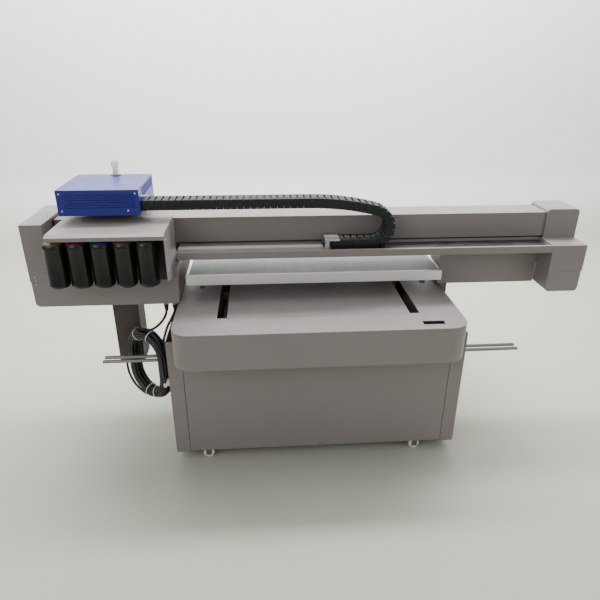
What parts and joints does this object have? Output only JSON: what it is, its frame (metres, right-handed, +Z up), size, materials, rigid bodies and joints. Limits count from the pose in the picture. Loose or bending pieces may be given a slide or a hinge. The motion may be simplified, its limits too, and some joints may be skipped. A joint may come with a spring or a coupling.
{
  "type": "flatbed uv printer",
  "caption": "Flatbed UV printer: wheeled grey cabinet, vacuum table sliding in deck slots, gantry with blue print carriage, drag chain and ink bottles",
  "frame": {"origin": "middle of the footprint of the whole machine on the floor, under the crossing of the deck's two centre lines", "axes": "+X to the operator's right along the gantry, +Y to the back, +Z up"},
  "size_m": [2.14, 1.22, 1.137],
  "materials": {
    "grey_paint": "fine satin powder coat",
    "dark_paint": "satin",
    "black_plastic": "matte",
    "chain_plastic": "matte",
    "bottle_plastic": "glossy",
    "steel": "ground",
    "cast": "painted dark",
    "motor_black": "satin black",
    "aluminium": "anodised",
    "foot_rubber": "matte",
    "belt_rubber": "matte",
    "fork_steel": "plated",
    "wheel_nylon": "satin",
    "blue_paint": "satin",
    "clear_plastic": "clear",
    "lead_sheath": "satin PVC",
    "white_plastic": "satin"
  },
  "bodies": {
    "base": {"base_frame": "dark_paint", "front_panel": "grey_paint", "left_side_panel": "grey_paint", "right_side_panel": "grey_paint", "rear_panel": "grey_paint", "hood": "grey_paint", "centre_deck": "grey_paint", "control_panel": "black_plastic", "levelling_feet": "foot_rubber", "carry_rods": "steel", "y_rails": "steel", "screw_bearings": "cast", "y_motor": "motor_black", "gantry_beam": "dark_paint", "upper_cover": "grey_paint", "chain_shelf": "grey_paint", "lower_cover": "grey_paint", "right_end_box": "grey_paint", "right_end_base": "grey_paint", "right_cap": "grey_paint", "left_housing": "grey_paint", "left_base": "grey_paint", "ink_hood": "grey_paint", "bottle_rack": "black_plastic", "ink_bottles": "bottle_plastic", "left_column": "dark_paint", "x_rails": "steel", "x_motor": "motor_black", "x_belt": "belt_rubber", "cap_station": "black_plastic", "chain_lower_run": "chain_plastic", "chain_clamp": "steel", "left_lead": "lead_sheath", "right_lead": "lead_sheath", "lead_coil": "lead_sheath", "lead_plugs": "white_plastic"},
    "screw": {"y_screw": "steel"},
    "front_left_swivel": {"front_left_fork": "fork_steel"},
    "front_left_roller": {"front_left_wheel": "wheel_nylon"},
    "front_right_swivel": {"front_right_fork": "fork_steel"},
    "front_right_roller": {"front_right_wheel": "wheel_nylon"},
    "rear_left_swivel": {"rear_left_fork": "fork_steel"},
    "rear_left_roller": {"rear_left_wheel": "wheel_nylon"},
    "rear_right_swivel": {"rear_right_fork": "fork_steel"},
    "rear_right_roller": {"rear_right_wheel": "wheel_nylon"},
    "table": {"table_top": "aluminium", "table_frame": "aluminium", "table_supports": "dark_paint", "rail_blocks": "steel"},
    "drive": {"drive_pulley": "aluminium"},
    "idler": {"idler_pulley": "aluminium"},
    "carriage": {"carriage_frame": "steel", "carriage_cover": "blue_paint", "filler_tube": "clear_plastic", "chain_upper_run": "chain_plastic", "carriage_lead": "white_plastic"},
    "lift": {"head_plate": "steel", "print_heads": "motor_black", "uv_lamps": "motor_black"},
    "chain": {"chain_bend": "chain_plastic"}
  },
  "joints": [
    {"name": "front_left_swivel_turn", "type": "hinge", "parent": "base", "child": "front_left_swivel", "pos_m": [-0.43, -0.474, 0.0675], "axis": [0, 0, 1], "continuous": true},
    {"name": "front_left_wheel_roll", "type": "hinge", "parent": "front_left_swivel", "child": "front_left_roller", "pos_m": [-0.446, -0.474, 0.0235], "axis": [0, 1, 0], "continuous": true},
    {"name": "front_right_swivel_turn", "type": "hinge", "parent": "base", "child": "front_right_swivel", "pos_m": [0.43, -0.474, 0.0675], "axis": [0, 0, 1], "continuous": true},
    {"name": "front_right_wheel_roll", "type": "hinge", "parent": "front_right_swivel", "child": "front_right_roller", "pos_m": [0.414, -0.474, 0.0235], "axis": [0, 1, 0], "continuous": true},
    {"name": "rear_left_swivel_turn", "type": "hinge", "parent": "base", "child": "rear_left_swivel", "pos_m": [-0.43, 0.474, 0.0675], "axis": [0, 0, 1], "continuous": true},
    {"name": "rear_left_wheel_roll", "type": "hinge", "parent": "rear_left_swivel", "child": "rear_left_roller", "pos_m": [-0.446, 0.474, 0.0235], "axis": [0, 1, 0], "continuous": true},
    {"name": "rear_right_swivel_turn", "type": "hinge", "parent": "base", "child": "rear_right_swivel", "pos_m": [0.43, 0.474, 0.0675], "axis": [0, 0, 1], "continuous": true},
    {"name": "rear_right_wheel_roll", "type": "hinge", "parent": "rear_right_swivel", "child": "rear_right_roller", "pos_m": [0.414, 0.474, 0.0235], "axis": [0, 1, 0], "continuous": true},
    {"name": "table_slide", "type": "slide", "parent": "base", "child": "table", "axis": [0, 1, 0], "range_m": [-0.398, 0.222]},
    {"name": "screw_turn", "type": "hinge", "parent": "base", "child": "screw", "pos_m": [0, 0, 0.54], "axis": [0, 1, 0], "range_deg": [-7200, 4020]},
    {"name": "carriage_slide", "type": "slide", "parent": "base", "child": "carriage", "axis": [1, 0, 0], "range_m": [0, 1.19], "deforming": ["chain_upper_run"]},
    {"name": "chain_travel", "type": "slide", "parent": "base", "child": "chain", "axis": [1, 0, 0], "range_m": [0, 0.596], "deforming": ["chain_lower_run"]},
    {"name": "drive_pulley_turn", "type": "hinge", "parent": "base", "child": "drive", "pos_m": [0.99, -0.107, 0.88], "axis": [0, 1, 0], "range_deg": [0, 4270]},
    {"name": "idler_pulley_turn", "type": "hinge", "parent": "base", "child": "idler", "pos_m": [-1.03, -0.107, 0.88], "axis": [0, 1, 0], "range_deg": [0, 4270]},
    {"name": "head_lift", "type": "slide", "parent": "carriage", "child": "lift", "axis": [0, 0, 1], "range_m": [0, 0.06]}
  ],
  "couplings": [
    {"joint": "screw_turn", "follows": "table_slide", "rad_per_m": 314.16},
    {"joint": "chain_travel", "follows": "carriage_slide", "ratio": 0.5},
    {"joint": "drive_pulley_turn", "follows": "carriage_slide", "rad_per_m": 62.5},
    {"joint": "idler_pulley_turn", "follows": "carriage_slide", "rad_per_m": 62.5}
  ]
}
